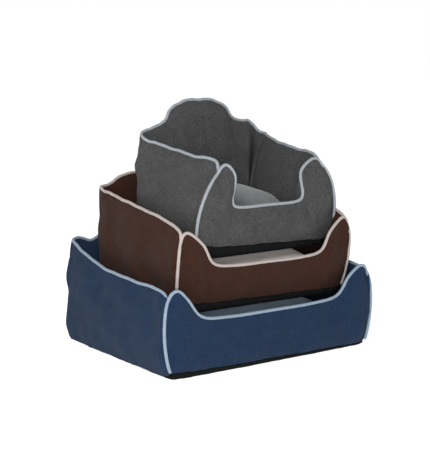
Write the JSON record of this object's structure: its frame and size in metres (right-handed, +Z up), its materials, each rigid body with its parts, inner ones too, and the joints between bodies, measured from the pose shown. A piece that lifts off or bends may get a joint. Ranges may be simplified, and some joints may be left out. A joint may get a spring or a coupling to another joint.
{
  "type": "pet cushion bed",
  "caption": "Pet cushion beds with stuffed walls, low piped entrances and loose seat cushions, nested in a stack from large to small.",
  "frame": {"origin": "centre of the stack's footprint on the floor", "axes": "+Z up, the low entrances face -Y, +X to the right seen from behind, so the left of a bed as seen from its front is -X"},
  "size_m": [0.7012, 0.5896, 0.6856],
  "materials": {
    "navy_cloth": "plain weave, matte",
    "brown_cloth": "plain weave, matte",
    "grey_cloth": "heather plain weave, matte",
    "light_blue_piping": "twill, matte",
    "beige_piping": "twill, matte",
    "light_grey_piping": "twill, matte",
    "navy_seat_cloth": "soft brushed cloth",
    "brown_seat_cloth": "soft brushed cloth",
    "grey_seat_cloth": "soft brushed cloth",
    "base_cloth": "coarse non-slip cloth",
    "filling": "loose fibre"
  },
  "bodies": {
    "large_bed": {"large_base_cloth": "base_cloth", "large_floor_pad": "navy_cloth", "large_front_outer_panel": "navy_cloth", "large_front_inner_panel": "navy_cloth", "large_front_wall_filling": "filling", "large_left_outer_panel": "navy_cloth", "large_left_inner_panel": "navy_cloth", "large_left_wall_filling": "filling", "large_back_outer_panel": "navy_cloth", "large_back_inner_panel": "navy_cloth", "large_back_wall_filling": "filling", "large_right_outer_panel": "navy_cloth", "large_right_inner_panel": "navy_cloth", "large_right_wall_filling": "filling", "large_front_piping": "light_blue_piping", "large_rim_piping": "light_blue_piping"},
    "large_cushion": {"large_cushion_top_cover": "navy_seat_cloth", "large_cushion_bottom_cover": "navy_seat_cloth", "large_cushion_filling": "filling"},
    "medium_bed": {"medium_base_cloth": "base_cloth", "medium_floor_pad": "brown_cloth", "medium_front_outer_panel": "brown_cloth", "medium_front_inner_panel": "brown_cloth", "medium_front_wall_filling": "filling", "medium_left_outer_panel": "brown_cloth", "medium_left_inner_panel": "brown_cloth", "medium_left_wall_filling": "filling", "medium_back_outer_panel": "brown_cloth", "medium_back_inner_panel": "brown_cloth", "medium_back_wall_filling": "filling", "medium_right_outer_panel": "brown_cloth", "medium_right_inner_panel": "brown_cloth", "medium_right_wall_filling": "filling", "medium_front_piping": "beige_piping", "medium_rim_piping": "beige_piping"},
    "medium_cushion": {"medium_cushion_top_cover": "brown_seat_cloth", "medium_cushion_bottom_cover": "brown_seat_cloth", "medium_cushion_filling": "filling"},
    "small_bed": {"small_base_cloth": "base_cloth", "small_floor_pad": "grey_cloth", "small_front_outer_panel": "grey_cloth", "small_front_inner_panel": "grey_cloth", "small_front_wall_filling": "filling", "small_left_outer_panel": "grey_cloth", "small_left_inner_panel": "grey_cloth", "small_left_wall_filling": "filling", "small_back_outer_panel": "grey_cloth", "small_back_inner_panel": "grey_cloth", "small_back_wall_filling": "filling", "small_right_outer_panel": "grey_cloth", "small_right_inner_panel": "grey_cloth", "small_right_wall_filling": "filling", "small_front_piping": "light_grey_piping", "small_rim_piping": "light_grey_piping"},
    "small_cushion": {"small_cushion_top_cover": "grey_seat_cloth", "small_cushion_bottom_cover": "grey_seat_cloth", "small_cushion_filling": "filling"}
  },
  "joints": [
    {"name": "large_cushion_lift", "type": "slide", "parent": "large_bed", "child": "large_cushion", "axis": [0, 0, 1], "range_m": [0, 0.3]},
    {"name": "medium_bed_lift", "type": "slide", "parent": "large_cushion", "child": "medium_bed", "axis": [0, 0, 1], "range_m": [0, 0.2]},
    {"name": "medium_cushion_lift", "type": "slide", "parent": "medium_bed", "child": "medium_cushion", "axis": [0, 0, 1], "range_m": [0, 0.3]},
    {"name": "small_bed_lift", "type": "slide", "parent": "medium_cushion", "child": "small_bed", "axis": [0, 0, 1], "range_m": [0, 0.22]},
    {"name": "small_cushion_lift", "type": "slide", "parent": "small_bed", "child": "small_cushion", "axis": [0, 0, 1], "range_m": [0, 0.32]}
  ]
}
